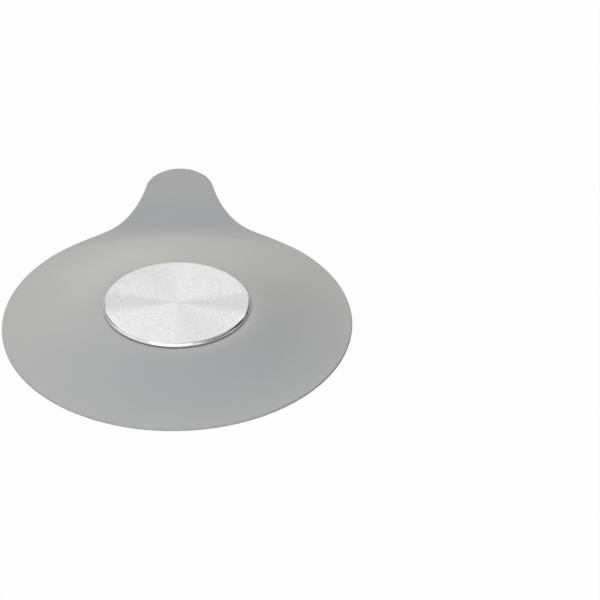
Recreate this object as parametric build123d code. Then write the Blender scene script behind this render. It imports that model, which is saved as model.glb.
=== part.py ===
# Drain stopper: a low silicone bell whose flat ring underneath seals on the tub floor round a drain,
# a raised tab to peel it off by, and a steel disc shut in under a steel cap to weigh it down.
# Millimetres and degrees. The origin is on the bell's axis, on the plane that the ring lies on.
# +Z is up, and the tab points to +Y.
from build123d import *
import math
import os

# Plan of the silicone: an ellipse, two flanks that turn hollow towards the neck, and a round end
mat_half_width = 80.0
mat_half_length = 82.3
flank_angle = 30.5
flank_pull = 44.5
neck_pull = 41.0
tab_end_radius = 16.35
tab_side_lean = 12.0

# Silicone: its thin rim, the wall at the bell's shoulder, the web on top, and the tab
rim_thickness = 1.0
shoulder_wall = 1.8
web_thickness = 1.8
tab_thickness = 1.5
edge_rounding = 0.3

# Bell: a level seat, and a slope that steepens at once and is all but level where the rim cuts it
bell_height = 9.6
seat_margin = 1.5
shoulder_share = 0.16
foot_share = 0.49
foot_overhang = 6.85

# Underside: a recess over the drain, inside the flat ring that seals
seal_width = 12.5
recess_share = 0.33

# Neck and tab: the top starts to rise inside the rim, the underside only behind the sealing ring,
# and both end in a gentler straight climb
neck_reach = 7.0
rise_run = 33.0
rise_start_share = 0.45
rise_end_share = 0.4
valley_share = 0.77
lift_run = 21.0
lift_height = 5.95
lift_share = 0.3
tab_straight = 5.3
tab_tilt = 7.5
flex_run = 9.0
flex_gap = 0.1

# Steel cap: drawn sheet with a rounded top edge, and a lip curled in at the bottom
cap_radius = 33.65
cap_sheet = 0.5
cap_edge_rounding = 1.4
cap_curl = 0.8
cap_lip_width = 2.15
cap_shadow_gap = 0.3

# Boss and weight disc, and the room that soft silicone leaves round the steel
boss_wall = 2.9
weight_thickness = 2.0
weight_edge_chamfer = 0.3
seat_clearance = 0.1

# Levels and radii that follow from the sizes above
seat_radius = cap_radius + seat_margin
bell_foot_radius = (mat_half_width + mat_half_length) / 2 + foot_overhang
recess_height = bell_height - web_thickness
recess_roof_radius = seat_radius - shoulder_wall
recess_foot_radius = mat_half_width - seal_width
rise_end = bell_foot_radius + neck_reach
rise_start = rise_end - rise_run
rise_height = lift_height + tab_thickness
lift_start = rise_end - lift_run
valley_rounding = (lift_start - seat_radius) * valley_share
flex_line = rise_end - flex_run
tab_end_centre = rise_end + tab_straight
tab_tip = tab_end_centre + tab_end_radius
boss_top = bell_height + weight_thickness
cap_top = boss_top + seat_clearance + cap_sheet
rim_bottom = bell_height + cap_shadow_gap
lip_radius = cap_radius - cap_lip_width
boss_neck_radius = lip_radius - seat_clearance
pocket_radius = boss_neck_radius - boss_wall
flange_radius = cap_radius - cap_sheet - seat_clearance
flange_underside = rim_bottom + cap_sheet + seat_clearance
flange_chamfer = cap_edge_rounding - cap_sheet

# How far cutting shapes run past what they cut
overrun = 5.0


def soft_step(start, end, start_share, end_share, end_slope=0.0):
    """A curve that leaves start level and reaches end at end_slope, steepest in between."""
    start_pull = (end[0] - start[0]) * start_share
    end_pull = (end[0] - start[0]) * end_share
    leaving = (start[0] + start_pull, start[1])
    arriving = (end[0] - end_pull, end[1] - end_pull * end_slope)
    return Bezier(start, leaving, arriving, end)


def plan():
    """The outline of mat and tab seen from above, as one face."""
    flank = math.radians(flank_angle)
    lean = math.radians(tab_side_lean)
    flank_x = mat_half_width * math.cos(flank)
    flank_y = mat_half_length * math.sin(flank)
    along_x = -mat_half_width * math.sin(flank)
    along_y = mat_half_length * math.cos(flank)
    pull = flank_pull / math.hypot(along_x, along_y)
    pulled_x = flank_x + along_x * pull
    pulled_y = flank_y + along_y * pull
    side_x = tab_end_radius * math.cos(lean)
    side_y = tab_end_centre + tab_end_radius * math.sin(lean)
    neck_x = side_x + neck_pull * math.sin(lean)
    neck_y = side_y - neck_pull * math.cos(lean)
    body_sweep = 180.0 + 2 * flank_angle
    with BuildSketch() as sketch:
        with BuildLine():
            EllipticalCenterArc(
                (0, 0), mat_half_width, mat_half_length,
                start_angle=180.0 - flank_angle, arc_size=body_sweep,
            )
            Bezier((flank_x, flank_y), (pulled_x, pulled_y), (neck_x, neck_y), (side_x, side_y))
            ThreePointArc((side_x, side_y), (0, tab_tip), (-side_x, side_y))
            Bezier((-side_x, side_y), (-neck_x, neck_y), (-pulled_x, pulled_y), (-flank_x, flank_y))
        make_face()
    return sketch.sketch


def bell():
    """The bell, solid below and wider than the plan, with the boss that the steel cap snaps over."""
    blank_radius = mat_half_width + mat_half_length
    with BuildPart() as part:
        with BuildSketch(Plane.XZ):
            with BuildLine():
                Polyline(
                    (0, 0),
                    (0, bell_height),
                    (pocket_radius, bell_height),
                    (pocket_radius, boss_top),
                    (flange_radius - flange_chamfer, boss_top),
                    (flange_radius, boss_top - flange_chamfer),
                    (flange_radius, flange_underside),
                    (boss_neck_radius, flange_underside),
                    (boss_neck_radius, bell_height),
                    (seat_radius, bell_height),
                )
                soft_step(
                    (seat_radius, bell_height), (bell_foot_radius, rim_thickness),
                    shoulder_share, foot_share,
                )
                Polyline(
                    (bell_foot_radius, rim_thickness),
                    (blank_radius, rim_thickness),
                    (blank_radius, 0),
                    (0, 0),
                )
            make_face()
        revolve(axis=Axis.Z)
    return part.part


def recess():
    """The hollow under the bell that clears the drain."""
    with BuildPart() as part:
        with BuildSketch(Plane.XZ):
            with BuildLine():
                Polyline((0, 0), (0, recess_height), (recess_roof_radius, recess_height))
                soft_step(
                    (recess_roof_radius, recess_height), (recess_foot_radius, 0),
                    recess_share, recess_share,
                )
                Line((recess_foot_radius, 0), (0, 0))
            make_face()
        revolve(axis=Axis.Z)
    return part.part


def rising_strip():
    """Neck and tab as a strip: thick behind the sealing ring, then a sheet that climbs straight."""
    slope = math.tan(math.radians(tab_tilt))
    far = tab_tip + overrun
    far_lift = lift_height + (far - rise_end) * slope
    with BuildPart() as part:
        with BuildSketch(Plane.YZ.offset(-mat_half_width)):
            with BuildLine():
                Line((rise_start, 0), (lift_start, 0))
                soft_step((lift_start, 0), (rise_end, lift_height), lift_share, lift_share, slope)
                Polyline(
                    (rise_end, lift_height),
                    (far, far_lift),
                    (far, far_lift + tab_thickness),
                    (rise_end, rise_height),
                )
                soft_step(
                    (rise_start, rim_thickness), (rise_end, rise_height),
                    rise_start_share, rise_end_share, slope,
                )
                Line((rise_start, 0), (rise_start, rim_thickness))
            make_face()
        extrude(amount=2 * mat_half_width)
    return part.part


def half_space(y_start, y_end):
    """A block across the whole part between two planes square to Y."""
    wide = 2 * (mat_half_width + overrun)
    tall = 2 * (cap_top + rise_height + overrun)
    block = Box(wide, y_end - y_start, tall, align=(Align.CENTER, Align.MIN, Align.CENTER))
    return Pos(0, y_start, 0) * block


def valley_edges(moulding):
    """The edge across the mat where the bell's slope meets the neck's rise."""
    edges = []
    for edge in moulding.edges():
        middle = edge @ 0.5
        across = abs(middle.X) < edge_rounding
        if across and rise_start < middle.Y < lift_start and middle.Z > rim_thickness:
            edges.append(edge)
    return edges


def outline_edges(moulding):
    """The edges above and below the wall that follows the plan."""
    edges = []
    for wall in moulding.faces():
        middle = wall.center()
        upright = abs(wall.normal_at(middle).Z) < math.sin(math.radians(1))
        if upright and math.hypot(middle.X, middle.Y) > recess_foot_radius:
            edges.extend(edge for edge in wall.edges() if abs(edge.tangent_at(0).Z) < 0.9)
    return edges


def silicone():
    """The whole moulding, mat and tab in one."""
    front = -mat_half_length - overrun
    behind = tab_tip + overrun
    column = Pos(0, 0, -overrun) * extrude(plan(), amount=cap_top + rise_height + 2 * overrun)
    bell_part = bell() & half_space(front, lift_start) & column
    raised_part = rising_strip() & half_space(rise_start, behind) & column
    moulding = bell_part + raised_part
    moulding = fillet(valley_edges(moulding), valley_rounding)
    moulding = moulding - recess()
    return fillet(outline_edges(moulding), edge_rounding)


def silicone_mat(moulding):
    """The moulding in front of the line where the neck flexes."""
    return moulding & half_space(-mat_half_length - overrun, flex_line)


def pull_tab(moulding):
    """The moulding behind the line where the neck flexes."""
    return moulding & half_space(flex_line + flex_gap, tab_tip + overrun)


def steel_cap():
    """Drawn cap: flat top, rounded edge, and a lip curled in under the silicone flange."""
    edge_centre = cap_radius - cap_edge_rounding
    curl_centre = cap_radius - cap_curl
    curl_top = rim_bottom + cap_curl
    edge_bottom = cap_top - cap_edge_rounding
    inner_wall = cap_radius - cap_sheet
    diagonal = math.sqrt(0.5)
    edge_middle = cap_edge_rounding * diagonal
    curl_middle = cap_curl * diagonal
    inner_edge_middle = (cap_edge_rounding - cap_sheet) * diagonal
    inner_curl_middle = (cap_curl - cap_sheet) * diagonal
    with BuildPart() as part:
        with BuildSketch(Plane.XZ):
            with BuildLine():
                Polyline((0, cap_top - cap_sheet), (0, cap_top), (edge_centre, cap_top))
                ThreePointArc(
                    (edge_centre, cap_top),
                    (edge_centre + edge_middle, edge_bottom + edge_middle),
                    (cap_radius, edge_bottom),
                )
                Line((cap_radius, edge_bottom), (cap_radius, curl_top))
                ThreePointArc(
                    (cap_radius, curl_top),
                    (curl_centre + curl_middle, curl_top - curl_middle),
                    (curl_centre, rim_bottom),
                )
                Polyline(
                    (curl_centre, rim_bottom),
                    (lip_radius, rim_bottom),
                    (lip_radius, rim_bottom + cap_sheet),
                    (curl_centre, rim_bottom + cap_sheet),
                )
                ThreePointArc(
                    (curl_centre, rim_bottom + cap_sheet),
                    (curl_centre + inner_curl_middle, curl_top - inner_curl_middle),
                    (inner_wall, curl_top),
                )
                Line((inner_wall, curl_top), (inner_wall, edge_bottom))
                ThreePointArc(
                    (inner_wall, edge_bottom),
                    (edge_centre + inner_edge_middle, edge_bottom + inner_edge_middle),
                    (edge_centre, cap_top - cap_sheet),
                )
                Line((edge_centre, cap_top - cap_sheet), (0, cap_top - cap_sheet))
            make_face()
        revolve(axis=Axis.Z)
    return part.part


def weight_disc():
    """Blanked steel disc that lies in the pocket of the boss."""
    radius = pocket_radius - seat_clearance
    disc = Cylinder(radius, weight_thickness, align=(Align.CENTER, Align.CENTER, Align.MIN))
    disc = Pos(0, 0, bell_height) * disc
    rims = disc.edges().filter_by(GeomType.CIRCLE)
    return chamfer(rims, weight_edge_chamfer)


def main():
    os.makedirs("parts", exist_ok=True)
    moulding = silicone()
    pieces = {
        "silicone_mat": silicone_mat(moulding),
        "pull_tab": pull_tab(moulding),
        "steel_cap": steel_cap(),
        "weight_disc": weight_disc(),
    }
    for name, piece in pieces.items():
        export_step(piece, os.path.join("parts", name + ".step"))
        box = piece.bounding_box()
        print(name, "solids", len(piece.solids()), "top", round(box.max.Z, 3))
    crest = pieces["silicone_mat"].faces().sort_by(Axis.Y)[-1].bounding_box().max.Z
    print("the neck flexes at y", flex_line, "and its top is at z", round(crest, 4))


main()
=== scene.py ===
import math

import bmesh
import bpy
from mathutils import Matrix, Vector


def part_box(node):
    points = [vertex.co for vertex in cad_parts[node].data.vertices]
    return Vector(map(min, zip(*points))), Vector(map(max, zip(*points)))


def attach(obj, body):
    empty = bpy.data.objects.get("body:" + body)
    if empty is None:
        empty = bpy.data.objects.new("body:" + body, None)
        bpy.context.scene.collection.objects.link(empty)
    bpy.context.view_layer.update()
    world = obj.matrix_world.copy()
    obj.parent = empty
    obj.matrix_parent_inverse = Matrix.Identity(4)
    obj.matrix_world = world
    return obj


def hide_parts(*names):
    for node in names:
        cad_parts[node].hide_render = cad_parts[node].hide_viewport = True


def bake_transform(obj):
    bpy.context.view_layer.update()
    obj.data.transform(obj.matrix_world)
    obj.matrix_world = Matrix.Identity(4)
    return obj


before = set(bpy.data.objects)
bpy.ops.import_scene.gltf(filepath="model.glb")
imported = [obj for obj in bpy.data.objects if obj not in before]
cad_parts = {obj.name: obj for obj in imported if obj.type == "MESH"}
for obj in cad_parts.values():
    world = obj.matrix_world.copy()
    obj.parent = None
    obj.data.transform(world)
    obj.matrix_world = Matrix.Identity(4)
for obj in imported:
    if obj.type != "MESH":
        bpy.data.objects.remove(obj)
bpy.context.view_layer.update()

scene = bpy.context.scene
scene.view_settings.view_transform = "Standard"

# Camera. A long lens from 1.7 m away that looks down by a little over a third of a right angle, and
# is turned a little from the tab's own axis. It looks past the stopper's right side, which leaves
# the stopper in the left half of the picture.
focal_px = 3706.0
picture_px = 600.0
sensor_mm = 36.0
camera_distance = 1.710
camera_climb = math.radians(34.5)
camera_turn = math.radians(0.88)
camera_aim = Vector((0.0564, 0.01872, 0.0))

camera_data = bpy.data.cameras.new("camera")
camera_data.sensor_width = sensor_mm
camera_data.lens = sensor_mm * focal_px / picture_px
camera = bpy.data.objects.new("camera", camera_data)
scene.collection.objects.link(camera)
heading = Vector((math.sin(camera_turn), math.cos(camera_turn), 0.0))
toward_floor = heading * math.cos(camera_climb) - Vector((0.0, 0.0, math.sin(camera_climb)))
camera.location = camera_aim - toward_floor * camera_distance
camera.rotation_euler = toward_floor.to_track_quat("-Z", "Y").to_euler()
scene.camera = camera

# Backdrop mask. A shared group that is 1 for the rays that show the background, which are those
# from the camera and those that gloss or glass sends on, and 0 for the rays that light things.
backdrop = bpy.data.node_groups.new("backdrop_rays", "ShaderNodeTree")
backdrop.interface.new_socket("Mask", in_out="OUTPUT", socket_type="NodeSocketFloat")
seen = backdrop.nodes.new("ShaderNodeLightPath")
seen_by_either = backdrop.nodes.new("ShaderNodeMath")
seen_by_either.operation = "MAXIMUM"
backdrop.links.new(seen.outputs["Is Camera Ray"], seen_by_either.inputs[0])
backdrop.links.new(seen.outputs["Is Glossy Ray"], seen_by_either.inputs[1])
seen_by_any = backdrop.nodes.new("ShaderNodeMath")
seen_by_any.operation = "MAXIMUM"
backdrop.links.new(seen_by_either.outputs[0], seen_by_any.inputs[0])
backdrop.links.new(seen.outputs["Is Transmission Ray"], seen_by_any.inputs[1])
mask_out = backdrop.nodes.new("NodeGroupOutput")
backdrop.links.new(seen_by_any.outputs[0], mask_out.inputs["Mask"])

# Studio floor. White, and seen white by the camera and by gloss, with a small share of what it
# shows left to the lamps, so that it keeps the stopper's own soft shadow.
floor_half = 4.0
floor_drop = 0.00005
floor_pale = (0.5, 0.5, 0.5, 1.0)
floor_glow = 1.0
floor_glow_share = 0.97


def mesh_object(mesh, name):
    """An object of this name, linked to the scene and made from a finished mesh."""
    data = bpy.data.meshes.new(name)
    mesh.to_mesh(data)
    mesh.free()
    made = bpy.data.objects.new(name, data)
    scene.collection.objects.link(made)
    return made


floor_mesh = bmesh.new()
bmesh.ops.create_grid(floor_mesh, x_segments=1, y_segments=1, size=floor_half)
bmesh.ops.translate(floor_mesh, verts=floor_mesh.verts, vec=(0.0, 0.0, -floor_drop))
floor = mesh_object(floor_mesh, "studio_floor")

floor_paint = bpy.data.materials.new("studio_floor")
floor_paint.use_nodes = True
nodes = floor_paint.node_tree.nodes
links = floor_paint.node_tree.links
nodes.clear()
output = nodes.new("ShaderNodeOutputMaterial")
lit = nodes.new("ShaderNodeBsdfDiffuse")
lit.inputs["Color"].default_value = floor_pale
glow = nodes.new("ShaderNodeEmission")
glow.inputs["Strength"].default_value = floor_glow
mask = nodes.new("ShaderNodeGroup")
mask.node_tree = backdrop
glow_share = nodes.new("ShaderNodeMath")
glow_share.operation = "MULTIPLY"
glow_share.inputs[1].default_value = floor_glow_share
links.new(mask.outputs["Mask"], glow_share.inputs[0])
floor_mix = nodes.new("ShaderNodeMixShader")
links.new(glow_share.outputs[0], floor_mix.inputs["Fac"])
links.new(lit.outputs[0], floor_mix.inputs[1])
links.new(glow.outputs[0], floor_mix.inputs[2])
links.new(floor_mix.outputs[0], output.inputs["Surface"])
floor.data.materials.append(floor_paint)

# Studio light. A soft card from the front left, a key that rakes in low from behind, a faint card
# on the left, and a faint strip behind that fans out over the turned steel. The room lights things
# dimly and looks white, but for four dim places that only gloss sees.
lamps = {
    "front_left_card": dict(
        place=(-0.24, -1.00, 1.226), size=(1.3, 1.0), watts=22.0, tint=(0.955, 0.98, 1.02),
    ),
    "low_back_key": dict(
        place=(-0.85, 2.97, 0.83), size=(1.6, 1.6), watts=120.0, tint=(1.0, 0.975, 0.86),
    ),
    "left_card": dict(
        place=(-1.27, -0.34, 0.92), size=(1.6, 0.9), watts=0.8, tint=(1.0, 1.0, 1.0),
    ),
    "back_strip": dict(
        place=(0.20, 1.18, 1.030), size=(2.2, 0.12), watts=0.8, tint=(1.0, 1.0, 1.0),
    ),
}
for name, lamp in lamps.items():
    lamp_data = bpy.data.lights.new(name, "AREA")
    lamp_data.shape = "RECTANGLE"
    lamp_data.size, lamp_data.size_y = lamp["size"]
    lamp_data.energy = lamp["watts"]
    lamp_data.color = lamp["tint"]
    light = bpy.data.objects.new(name, lamp_data)
    light.location = lamp["place"]
    light.rotation_euler = (-Vector(lamp["place"])).to_track_quat("-Z", "Y").to_euler()
    scene.collection.objects.link(light)
key = bpy.data.objects["low_back_key"]
key.visible_glossy = False
key.data.use_shadow = False

# Each dim place lies one way from the stopper. It starts and is full where the cosine of the angle
# off that way reaches a value, and takes a share from the white.
room_white = (1.0, 1.0, 1.0, 1.0)
room_shown = 1.0
room_light = 0.10
dim_places = [
    dict(way=(0.76, 0.532, 0.375), start=0.84, full=0.90, taken_share=0.90),
    dict(way=(0.80, -0.36, 0.48), start=0.87, full=0.95, taken_share=0.80),
    dict(way=(-0.62, 0.645, 0.447), start=0.915, full=0.955, taken_share=0.60),
    dict(way=(0.40, 0.32, 0.86), start=0.84, full=0.96, taken_share=0.55),
]
room = bpy.data.worlds.new("room")
room.use_nodes = True
nodes = room.node_tree.nodes
links = room.node_tree.links
nodes["Background"].inputs["Color"].default_value = room_white
mask = nodes.new("ShaderNodeGroup")
mask.node_tree = backdrop
strength = nodes.new("ShaderNodeMapRange")
strength.inputs["To Min"].default_value = room_light
strength.inputs["To Max"].default_value = room_shown
links.new(mask.outputs["Mask"], strength.inputs["Value"])
room_way = nodes.new("ShaderNodeTexCoord")
rays = nodes.new("ShaderNodeLightPath")
shown = strength.outputs["Result"]
for dim_place in dim_places:
    toward = nodes.new("ShaderNodeVectorMath")
    toward.operation = "DOT_PRODUCT"
    toward.inputs[1].default_value = dim_place["way"]
    links.new(room_way.outputs["Generated"], toward.inputs[0])
    dim = nodes.new("ShaderNodeMapRange")
    dim.interpolation_type = "SMOOTHSTEP"
    dim.inputs["From Min"].default_value = dim_place["start"]
    dim.inputs["From Max"].default_value = dim_place["full"]
    dim.inputs["To Max"].default_value = dim_place["taken_share"]
    links.new(toward.outputs["Value"], dim.inputs["Value"])
    in_gloss = nodes.new("ShaderNodeMath")
    in_gloss.operation = "MULTIPLY"
    links.new(dim.outputs["Result"], in_gloss.inputs[0])
    links.new(rays.outputs["Is Glossy Ray"], in_gloss.inputs[1])
    less = nodes.new("ShaderNodeMath")
    less.operation = "SUBTRACT"
    less.use_clamp = True
    links.new(shown, less.inputs[0])
    links.new(in_gloss.outputs[0], less.inputs[1])
    shown = less.outputs[0]
links.new(shown, nodes["Background"].inputs["Strength"])
scene.world = room

# Silicone moulding. The mat and its pull tab are one piece of soft grey silicone, moulded in a
# matt tool: a low bell closed by a web on top, with a flat sealing ring below, and a neck that
# rises to the tab. The boss inside the steel cap has an undercut that the cap's lip snaps under.
half_width = 0.080
half_length = 0.0823
flank_start = math.radians(30.5)
flank_pull = 0.0445
neck_pull = 0.041
tab_round = 0.01635
tab_lean = math.radians(12.0)
tab_corner = math.radians(42.0)
tab_centre_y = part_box("pull_tab")[1].y - tab_round
rim_thick = 0.0010
tab_thick = 0.0015
edge_round = 0.0004
bell_top = 0.0096
bell_foot = 0.0880
seat_edge = 0.03515
mid_slope = (seat_edge + half_width) / 2
shoulder_share = 0.16
foot_share = 0.49
recess_top = 0.0078
recess_seat = 0.03335
recess_foot = 0.0675
recess_share = 0.33
rise_end = 0.0950
rise_run = 0.0330
rise_share = 0.45
crest_share = 0.40
valley_fill = 0.0020
valley_fade = 0.0080
lift_run = 0.0210
lift_top = 0.00595
lift_share = 0.30
tab_climb = math.tan(math.radians(7.5))
pocket_edge = 0.0285
boss_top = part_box("silicone_mat")[1].z
boss_neck = 0.0314
flange_edge = 0.03305
flange_foot = 0.0105
flange_slant = 0.0009

# How finely the curves are divided and solved, and how near counts as the same place
turns = 288
slope_rows = 34
tab_rows = 36
neck_half_turn = math.radians(30.0)
flank_steps = 60
corner_steps = 30
round_segments = 3
fold_angle = math.radians(50.0)
sharp_angle = math.radians(40.0)
step_halvings = 30
flank_halvings = 40
merge_distance = 1e-6
edge_slack = 1e-5
root_slack = 1e-3
reach_slack = 1e-9
level_digits = 5
place_digits = 7


def cubic(start, start_pull, end_pull, end, t):
    """The point at t on a curve from start to end, pulled by the two points in between."""
    return (
        start * (1 - t) ** 3 + start_pull * 3 * t * (1 - t) ** 2
        + end_pull * 3 * t ** 2 * (1 - t) + end * t ** 3
    )


def soft_step(along, start, end, low, high, start_share, end_share, end_slope=0.0):
    """The height at a place along a curve that leaves level and arrives at end_slope."""
    if along <= start:
        return low
    if along >= end:
        return high + (along - end) * end_slope
    run = end - start
    early, late = 0.0, 1.0
    for _ in range(step_halvings):
        t = (early + late) / 2
        if cubic(start, start + run * start_share, end - run * end_share, end, t) < along:
            early = t
        else:
            late = t
    return cubic(low, low, high - run * end_share * end_slope, high, t)


def top_height(x, y):
    """The level of the top face: the bell's slope, and the neck's rise out of it."""
    reach = math.hypot(x, y)
    slope = soft_step(reach, seat_edge, bell_foot, bell_top, rim_thick, shoulder_share, foot_share)
    rise_start = rise_end - rise_run
    if y <= rise_start:
        return slope
    rise = soft_step(
        y, rise_start, rise_end, rim_thick, lift_top + tab_thick,
        rise_share, crest_share, tab_climb,
    )
    fill = valley_fill * min((y - rise_start) / valley_fade, 1.0)
    overlap = max(fill - abs(slope - rise), 0.0)
    return max(slope, rise) + overlap ** 2 / (4 * fill)


def under_height(x, y):
    """The level of the underside: the recess, the flat ring, and the neck's lift behind it."""
    lift_start = rise_end - lift_run
    if y > lift_start:
        return soft_step(y, lift_start, rise_end, 0.0, lift_top, lift_share, lift_share, tab_climb)
    return soft_step(
        math.hypot(x, y), recess_seat, recess_foot, recess_top, 0.0, recess_share, recess_share,
    )


def tab_round_point(turn):
    """A point on the tab's round end, at this turn up from its right side."""
    return Vector((tab_round * math.cos(turn), tab_centre_y + tab_round * math.sin(turn)))


flank_foot = Vector((half_width * math.cos(flank_start), half_length * math.sin(flank_start)))


def flank_point(t):
    """A point on the right flank, from the ellipse at 0 to the side of the tab's round end at 1."""
    along = Vector((-half_width * math.sin(flank_start), half_length * math.cos(flank_start)))
    foot_pull = flank_foot + along.normalized() * flank_pull
    side = tab_round_point(tab_lean)
    side_pull = side + Vector((math.sin(tab_lean), -math.cos(tab_lean))) * neck_pull
    return cubic(flank_foot, foot_pull, side_pull, side, t)


def flank_at(angle):
    """How far along the flank a ray from the bell's axis at this angle meets it."""
    early, late = 0.0, 1.0
    for _ in range(flank_halvings):
        t = (early + late) / 2
        point = flank_point(t)
        if math.atan2(point.y, point.x) < angle:
            early = t
        else:
            late = t
    return early


root_angle = math.pi / 2 - neck_half_turn
root_at = flank_at(root_angle)
root_reach = flank_point(root_at).length


def rim_reach(angle):
    """The plan's reach at this angle, carried on straight across the root of the neck."""
    from_side = abs(math.atan2(math.sin(angle), abs(math.cos(angle))))
    if math.sin(angle) < 0 or from_side < math.atan2(flank_foot.y, flank_foot.x):
        return 1 / math.hypot(math.cos(angle) / half_width, math.sin(angle) / half_length)
    if from_side > root_angle + root_slack:
        return root_reach * math.sin(root_angle) / math.sin(from_side)
    return flank_point(flank_at(from_side)).length


def turned(half_section):
    """A mesh turned once about the bell's axis from a line of radii and levels."""
    mesh = bmesh.new()
    points = [mesh.verts.new((radius, 0.0, level)) for radius, level in half_section]
    edges = [mesh.edges.new(pair) for pair in zip(points, points[1:])]
    bmesh.ops.spin(
        mesh, geom=points + edges, cent=(0.0, 0.0, 0.0), axis=(0.0, 0.0, 1.0),
        angle=math.tau, steps=turns, use_merge=True,
    )
    bmesh.ops.remove_doubles(mesh, verts=mesh.verts, dist=merge_distance)
    return mesh


# A flat blank is turned about the bell's axis, with the boss on it already
slope_run = half_width - seat_edge
slope_radii = [seat_edge + slope_run * row / slope_rows for row in range(slope_rows + 1)]
blank = [
    (0.0, bell_top), (pocket_edge / 2, bell_top), (pocket_edge, bell_top), (pocket_edge, boss_top),
    (flange_edge - flange_slant, boss_top), (flange_edge, boss_top - flange_slant),
    (flange_edge, flange_foot), (boss_neck, flange_foot), (boss_neck, bell_top),
]
blank += [(radius, bell_top) for radius in slope_radii]
blank += [(radius, recess_top) for radius in reversed(slope_radii)]
blank += [(recess_seat, recess_top), (recess_seat / 2, recess_top), (0.0, recess_top)]
skin_mesh = turned(blank)
for vert in skin_mesh.verts:
    reach = math.hypot(vert.co.x, vert.co.y)
    if reach > seat_edge + edge_slack:
        rim = rim_reach(math.atan2(vert.co.y, vert.co.x))
        stretched = seat_edge + (rim - seat_edge) * ((reach - seat_edge) / slope_run)
        vert.co.x *= stretched / reach
        vert.co.y *= stretched / reach

# The blank's rim wall across the root of the neck is drawn out, row by row, into neck and tab. Its
# corners come in pairs, one above the other, and each row lies between the neck's four borders.
wall = []
for face in skin_mesh.faces:
    middle = face.calc_center_median()
    upright = len({round(vert.co.z, level_digits) for vert in face.verts}) == 2
    behind = abs(math.atan2(middle.x, middle.y)) < neck_half_turn
    if upright and behind and middle.length > mid_slope:
        wall.append(face)
root_line = sorted({
    (round(vert.co.x, place_digits), round(vert.co.y, place_digits))
    for face in wall for vert in face.verts
})
side_line = []
for step in range(flank_steps + 1):
    side_line.append(flank_point(root_at + (1 - root_at) * step / flank_steps))
for step in range(1, corner_steps + 1):
    side_line.append(tab_round_point(tab_lean + (tab_corner - tab_lean) * step / corner_steps))
side_reach = [0.0]
for first, second in zip(side_line, side_line[1:]):
    side_reach.append(side_reach[-1] + (second - first).length)


def side_point(share):
    """A point on the right side, from the root of the neck to a corner of the tab's round end."""
    sought = share * side_reach[-1]
    for index in range(1, len(side_line)):
        if side_reach[index] >= sought - reach_slack:
            step = side_reach[index] - side_reach[index - 1]
            part = (sought - side_reach[index - 1]) / step
            return side_line[index - 1].lerp(side_line[index], part)


def end_point(across):
    """A point on the tab's round end, from its left corner at 0 to its right corner at 1."""
    return tab_round_point(math.pi - tab_corner + (2 * tab_corner - math.pi) * across)


root_left, root_right = Vector(root_line[0]), Vector(root_line[-1])
for row in range(1, tab_rows + 1):
    along = row / tab_rows
    drawn = bmesh.ops.extrude_face_region(skin_mesh, geom=wall)["geom"]
    bmesh.ops.delete(skin_mesh, geom=wall, context="FACES")
    wall = [item for item in drawn if isinstance(item, bmesh.types.BMFace)]
    fresh = [item for item in drawn if isinstance(item, bmesh.types.BMVert)]
    fresh.sort(key=lambda vert: vert.co.x)
    right = side_point(along)
    left = Vector((-right.x, right.y))
    for index, vert in enumerate(fresh):
        across = (index // 2) / (len(root_line) - 1)
        root = Vector(root_line[index // 2])
        between_lines = root * (1 - along) + end_point(across) * along
        between_sides = left * (1 - across) + right * across
        near_corners = root_left * (1 - across) + root_right * across
        far_corners = end_point(0.0) * (1 - across) + end_point(1.0) * across
        between_corners = near_corners * (1 - along) + far_corners * along
        vert.co.xy = between_lines + between_sides - between_corners

# The blank is pressed into the bell's slope, its recess, and the rise of neck and tab
for vert in skin_mesh.verts:
    reach = math.hypot(vert.co.x, vert.co.y)
    if reach > recess_seat + edge_slack and vert.co.z < (bell_top + recess_top) / 2:
        vert.co.z = under_height(vert.co.x, vert.co.y)
    elif reach > seat_edge + edge_slack:
        vert.co.z = top_height(vert.co.x, vert.co.y)
bmesh.ops.recalc_face_normals(skin_mesh, faces=skin_mesh.faces)
outline = []
for edge in skin_mesh.edges:
    middle = (edge.verts[0].co + edge.verts[1].co) / 2
    folded = len(edge.link_faces) == 2 and edge.calc_face_angle() > fold_angle
    if folded and math.hypot(middle.x, middle.y) > mid_slope:
        outline.append(edge)
bmesh.ops.bevel(
    skin_mesh, geom=outline, offset=edge_round, offset_type="OFFSET", affect="EDGES",
    segments=round_segments, profile=0.5, material=-1,
)
bmesh.ops.recalc_face_normals(skin_mesh, faces=skin_mesh.faces)
for face in skin_mesh.faces:
    face.smooth = True
skin = mesh_object(skin_mesh, "silicone_skin")
skin.data.set_sharp_from_angle(angle=sharp_angle)
crisp = skin.modifiers.new("crisp_edge", "WEIGHTED_NORMAL")
crisp.keep_sharp = True

# Every finish here has a grain: a group in which one noise sets the tone, the gloss and the relief
grain = bpy.data.node_groups.new("surface_grain", "ShaderNodeTree")
grain_inputs = {
    "Vector": "NodeSocketVector", "Scale": "NodeSocketFloat", "Detail": "NodeSocketFloat",
    "Low": "NodeSocketFloat", "High": "NodeSocketFloat",
    "Dark": "NodeSocketColor", "Light": "NodeSocketColor",
    "Smooth": "NodeSocketFloat", "Rough": "NodeSocketFloat",
    "Relief": "NodeSocketFloat", "Depth": "NodeSocketFloat",
}
for name, kind in grain_inputs.items():
    grain.interface.new_socket(name, in_out="INPUT", socket_type=kind)
grain.interface.new_socket("Color", in_out="OUTPUT", socket_type="NodeSocketColor")
grain.interface.new_socket("Roughness", in_out="OUTPUT", socket_type="NodeSocketFloat")
grain.interface.new_socket("Normal", in_out="OUTPUT", socket_type="NodeSocketVector")
given = grain.nodes.new("NodeGroupInput")
made = grain.nodes.new("NodeGroupOutput")
noise = grain.nodes.new("ShaderNodeTexNoise")
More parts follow.
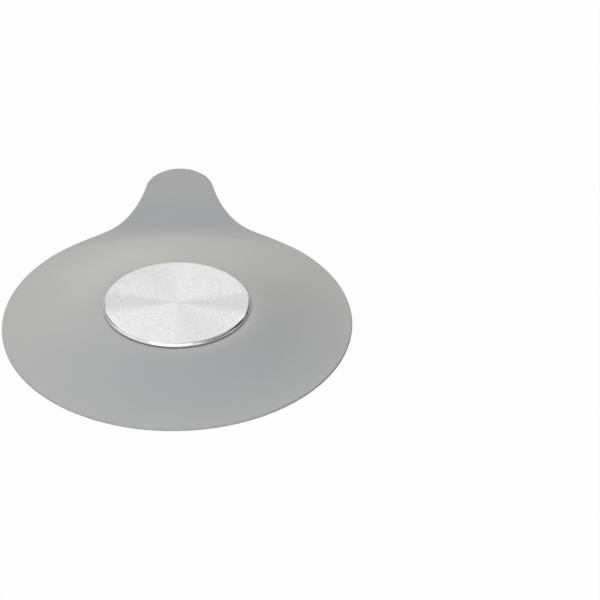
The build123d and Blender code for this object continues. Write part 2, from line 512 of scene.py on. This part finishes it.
for name in ("Vector", "Scale", "Detail"):
    grain.links.new(given.outputs[name], noise.inputs[name])
spread = grain.nodes.new("ShaderNodeMapRange")
gloss = grain.nodes.new("ShaderNodeMapRange")
for levels in (spread, gloss):
    grain.links.new(noise.outputs["Fac"], levels.inputs["Value"])
    grain.links.new(given.outputs["Low"], levels.inputs["From Min"])
    grain.links.new(given.outputs["High"], levels.inputs["From Max"])
grain.links.new(given.outputs["Smooth"], gloss.inputs["To Min"])
grain.links.new(given.outputs["Rough"], gloss.inputs["To Max"])
grain.links.new(gloss.outputs["Result"], made.inputs["Roughness"])
tone = grain.nodes.new("ShaderNodeMix")
tone.data_type = "RGBA"
grain.links.new(spread.outputs["Result"], tone.inputs["Factor"])
grain.links.new(given.outputs["Dark"], tone.inputs["A"])
grain.links.new(given.outputs["Light"], tone.inputs["B"])
grain.links.new(tone.outputs["Result"], made.inputs["Color"])
relief = grain.nodes.new("ShaderNodeBump")
grain.links.new(given.outputs["Relief"], relief.inputs["Strength"])
grain.links.new(given.outputs["Depth"], relief.inputs["Distance"])
grain.links.new(noise.outputs["Fac"], relief.inputs["Height"])
grain.links.new(relief.outputs["Normal"], made.inputs["Normal"])


def grain_on(material, vector, values):
    """The grain group, placed in a material with this vector and these values."""
    placed = material.node_tree.nodes.new("ShaderNodeGroup")
    placed.node_tree = grain
    material.node_tree.links.new(vector, placed.inputs["Vector"])
    for name, value in values.items():
        placed.inputs[name].default_value = value
    return placed


clouds = dict(
    Scale=45.0, Detail=3.0, Low=0.35, High=0.65,
    Dark=(0.418, 0.417, 0.415, 1.0), Light=(0.426, 0.425, 0.423, 1.0),
)
mould_grain = dict(
    Scale=2600.0, Detail=2.0, Low=0.3, High=0.7, Smooth=0.56, Rough=0.64,
    Relief=0.6, Depth=0.000012,
)
silicone = bpy.data.materials.new("matt_silicone")
silicone.use_nodes = True
nodes = silicone.node_tree.nodes
links = silicone.node_tree.links
shader = nodes["Principled BSDF"]
place = nodes.new("ShaderNodeTexCoord")
cloudy = grain_on(silicone, place.outputs["Object"], clouds)
grained = grain_on(silicone, place.outputs["Object"], mould_grain)
links.new(cloudy.outputs["Color"], shader.inputs["Base Color"])
links.new(grained.outputs["Roughness"], shader.inputs["Roughness"])
links.new(grained.outputs["Normal"], shader.inputs["Normal"])
skin.data.materials.append(silicone)

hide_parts("silicone_mat", "pull_tab")
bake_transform(skin)

# Weight disc. A plain round of rolled steel sheet, laid in the boss's pocket before the cap goes
# on, so that the stopper stays down in the water. The cap hides it, and its faces keep the long
# faint streaks of the rolling mill.
streaks_per_metre = (40.0, 1600.0, 1600.0)
streaks = dict(
    Scale=1.0, Detail=3.0, Low=0.3, High=0.7,
    Dark=(0.42, 0.42, 0.43, 1.0), Light=(0.58, 0.58, 0.59, 1.0), Smooth=0.34, Rough=0.46,
    Relief=0.4, Depth=0.000003,
)
rolled = bpy.data.materials.new("rolled_steel")
rolled.use_nodes = True
nodes = rolled.node_tree.nodes
links = rolled.node_tree.links
shader = nodes["Principled BSDF"]
shader.inputs["Metallic"].default_value = 1.0
place = nodes.new("ShaderNodeTexCoord")
drawn_out = nodes.new("ShaderNodeMapping")
drawn_out.inputs["Scale"].default_value = streaks_per_metre
links.new(place.outputs["Object"], drawn_out.inputs["Vector"])
streaked = grain_on(rolled, drawn_out.outputs["Vector"], streaks)
links.new(streaked.outputs["Color"], shader.inputs["Base Color"])
links.new(streaked.outputs["Roughness"], shader.inputs["Roughness"])
links.new(streaked.outputs["Normal"], shader.inputs["Normal"])
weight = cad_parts["weight_disc"]
for finish in weight.material_slots:
    finish.material = rolled

# Steel cap. Drawn from thin stainless sheet with a rounded top edge, and curled in below to a lip
# that holds it on the boss. Its face and edge are turned with fine rings about the centre.
cap_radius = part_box("steel_cap")[1].x
cap_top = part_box("steel_cap")[1].z
cap_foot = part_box("steel_cap")[0].z
cap_sheet = 0.0005
cap_edge_round = 0.0014
cap_curl = 0.0008
cap_lip = 0.0315
flat_steps = 8
bend_steps = 12

bend_turns = [math.pi / 2 * step / bend_steps for step in range(bend_steps + 1)]
sheet_line = [(cap_radius * step / flat_steps, cap_top) for step in range(flat_steps)]
for turn in bend_turns:
    sheet_line.append((
        cap_radius - cap_edge_round + cap_edge_round * math.sin(turn),
        cap_top - cap_edge_round + cap_edge_round * math.cos(turn),
    ))
for turn in bend_turns:
    sheet_line.append((
        cap_radius - cap_curl + cap_curl * math.cos(turn),
        cap_foot + cap_curl - cap_curl * math.sin(turn),
    ))
sheet_line.append((cap_lip, cap_foot))
cap_mesh = turned(sheet_line)
bmesh.ops.recalc_face_normals(cap_mesh, faces=cap_mesh.faces)
if max(cap_mesh.faces, key=lambda face: face.calc_center_median().z).normal.z < 0:
    bmesh.ops.reverse_faces(cap_mesh, faces=cap_mesh.faces)
bmesh.ops.solidify(cap_mesh, geom=cap_mesh.faces, thickness=cap_sheet)
for face in cap_mesh.faces:
    face.smooth = True
cap = mesh_object(cap_mesh, "cap_skin")
cap.data.set_sharp_from_angle(angle=sharp_angle)

brush_turn = 0.25
rings_per_metre = 4200.0
ring_changes = 8.0
rings = dict(
    Scale=1.0, Detail=3.0, Low=0.3, High=0.7,
    Dark=(0.605, 0.605, 0.61, 1.0), Light=(0.795, 0.795, 0.80, 1.0), Smooth=0.17, Rough=0.21,
    Relief=0.2, Depth=0.000004,
)
# Dark colour painted onto the curl as shade at the cap's foot
curl_painted_shade = (0.30, 0.30, 0.31, 1.0)
curl_shade_from = 0.0015
curl_shade_to = 0.0008
brushed = bpy.data.materials.new("turned_steel")
brushed.use_nodes = True
nodes = brushed.node_tree.nodes
links = brushed.node_tree.links
shader = nodes["Principled BSDF"]
shader.inputs["Metallic"].default_value = 1.0
shader.inputs["Anisotropic"].default_value = 1.0
shader.inputs["Anisotropic Rotation"].default_value = brush_turn
brush_way = nodes.new("ShaderNodeTangent")
brush_way.direction_type = "RADIAL"
brush_way.axis = "Z"
links.new(brush_way.outputs[0], shader.inputs["Tangent"])
place = nodes.new("ShaderNodeTexCoord")
level = nodes.new("ShaderNodeVectorMath")
level.operation = "MULTIPLY"
level.inputs[1].default_value = (1.0, 1.0, 0.0)
links.new(place.outputs["Object"], level.inputs[0])
from_axis = nodes.new("ShaderNodeVectorMath")
from_axis.operation = "LENGTH"
links.new(level.outputs["Vector"], from_axis.inputs[0])
bearing = nodes.new("ShaderNodeVectorMath")
bearing.operation = "NORMALIZE"
links.new(level.outputs["Vector"], bearing.inputs[0])
round_axis = nodes.new("ShaderNodeVectorMath")
round_axis.operation = "SCALE"
round_axis.inputs["Scale"].default_value = ring_changes
links.new(bearing.outputs["Vector"], round_axis.inputs[0])
ring = nodes.new("ShaderNodeMath")
ring.operation = "MULTIPLY"
ring.inputs[1].default_value = rings_per_metre
links.new(from_axis.outputs["Value"], ring.inputs[0])
across_rings = nodes.new("ShaderNodeCombineXYZ")
links.new(ring.outputs[0], across_rings.inputs["Z"])
ring_place = nodes.new("ShaderNodeVectorMath")
ring_place.operation = "ADD"
links.new(round_axis.outputs["Vector"], ring_place.inputs[0])
links.new(across_rings.outputs["Vector"], ring_place.inputs[1])
ringed = grain_on(brushed, ring_place.outputs["Vector"], rings)
links.new(ringed.outputs["Roughness"], shader.inputs["Roughness"])
links.new(ringed.outputs["Normal"], shader.inputs["Normal"])

# Painted shade: the base colour darkens towards the foot of the curl, standing in for the shade in
# the gap under the cap's lip
height = nodes.new("ShaderNodeSeparateXYZ")
links.new(place.outputs["Object"], height.inputs[0])
curl_shade_mask = nodes.new("ShaderNodeMapRange")
curl_shade_mask.interpolation_type = "SMOOTHSTEP"
curl_shade_mask.inputs["From Min"].default_value = cap_foot + curl_shade_to
curl_shade_mask.inputs["From Max"].default_value = cap_foot + curl_shade_from
curl_shade_mask.inputs["To Min"].default_value = 1.0
curl_shade_mask.inputs["To Max"].default_value = 0.0
links.new(height.outputs["Z"], curl_shade_mask.inputs["Value"])
painted_curl_shade = nodes.new("ShaderNodeMix")
painted_curl_shade.data_type = "RGBA"
painted_curl_shade.inputs["B"].default_value = curl_painted_shade
links.new(curl_shade_mask.outputs["Result"], painted_curl_shade.inputs["Factor"])
links.new(ringed.outputs["Color"], painted_curl_shade.inputs["A"])
links.new(painted_curl_shade.outputs["Result"], shader.inputs["Base Color"])
cap.data.materials.append(brushed)
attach(cap, "mat")
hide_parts("steel_cap")
